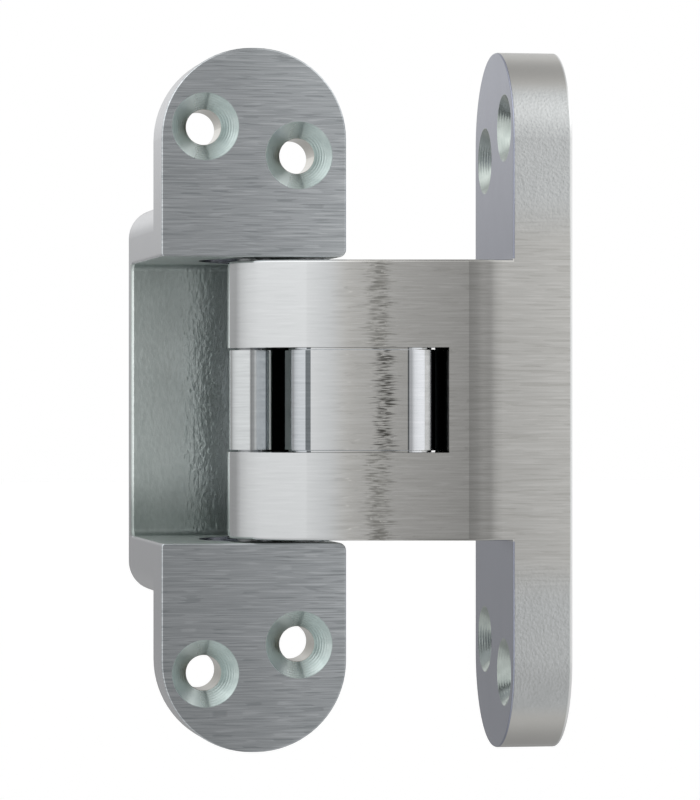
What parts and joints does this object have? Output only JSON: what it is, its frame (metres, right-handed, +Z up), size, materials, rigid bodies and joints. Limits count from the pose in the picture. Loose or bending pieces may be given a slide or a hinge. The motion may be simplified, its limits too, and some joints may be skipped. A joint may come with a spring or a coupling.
{
  "type": "concealed hinge",
  "caption": "Concealed door hinge, open at a right angle: two round-ended screw plates, a boxed pocket, a forked gooseneck arm and a centre link on hidden pins.",
  "frame": {"origin": "middle of the frame body's outer pair of screw holes, on the plates' back face, which seats in the door frame", "axes": "+Z up along the hinge pins and the plates' length, +Y into the frame, -X from the door leaf's open face towards the frame"},
  "size_m": [0.0648, 0.0566, 0.1132],
  "materials": {
    "frame_casting": "cast, faces brushed along the width, satin",
    "door_casting": "cast, faces brushed along the height, satin",
    "link_metal": "brushed front, polished roundings",
    "pin_steel": "ground",
    "sleeve_metal": "polished",
    "roller_polymer": "turned",
    "bush_bronze": "turned"
  },
  "bodies": {
    "frame": {"frame_body": "frame_casting", "frame_pivot_pin": "pin_steel"},
    "link": {"centre_link": "link_metal", "link_frame_bush": "bush_bronze", "upper_leaf_bush": "bush_bronze", "lower_leaf_bush": "bush_bronze"},
    "leaf": {"door_leaf": "door_casting", "leaf_pivot_pin": "pin_steel", "guide_pin": "pin_steel"},
    "sleeve": {"guide_sleeve": "sleeve_metal"},
    "upper_roller": {"upper_track_roller": "roller_polymer"},
    "lower_roller": {"lower_track_roller": "roller_polymer"}
  },
  "joints": [
    {"name": "link_fold", "type": "hinge", "parent": "frame", "child": "link", "pos_m": [0.0184, -0.0025, 0], "axis": [0, 0, 1], "range_deg": [-155.18, 0]},
    {"name": "leaf_fold", "type": "hinge", "parent": "link", "child": "leaf", "pos_m": [0.0323, -0.01356, 0], "axis": [0, 0, 1], "range_deg": [0, 65.18]},
    {"name": "sleeve_spin", "type": "hinge", "parent": "leaf", "child": "sleeve", "pos_m": [0.00912, 0.0015, 0], "axis": [0, 0, 1], "continuous": true},
    {"name": "upper_roller_spin", "type": "hinge", "parent": "leaf", "child": "upper_roller", "pos_m": [0.00912, 0.0015, 0.0254], "axis": [0, 0, 1], "continuous": true},
    {"name": "lower_roller_spin", "type": "hinge", "parent": "leaf", "child": "lower_roller", "pos_m": [0.00912, 0.0015, -0.0254], "axis": [0, 0, 1], "continuous": true}
  ],
  "couplings": [
    {"joint": "leaf_fold", "follows": "link_fold", "ratio": -0.42002}
  ]
}
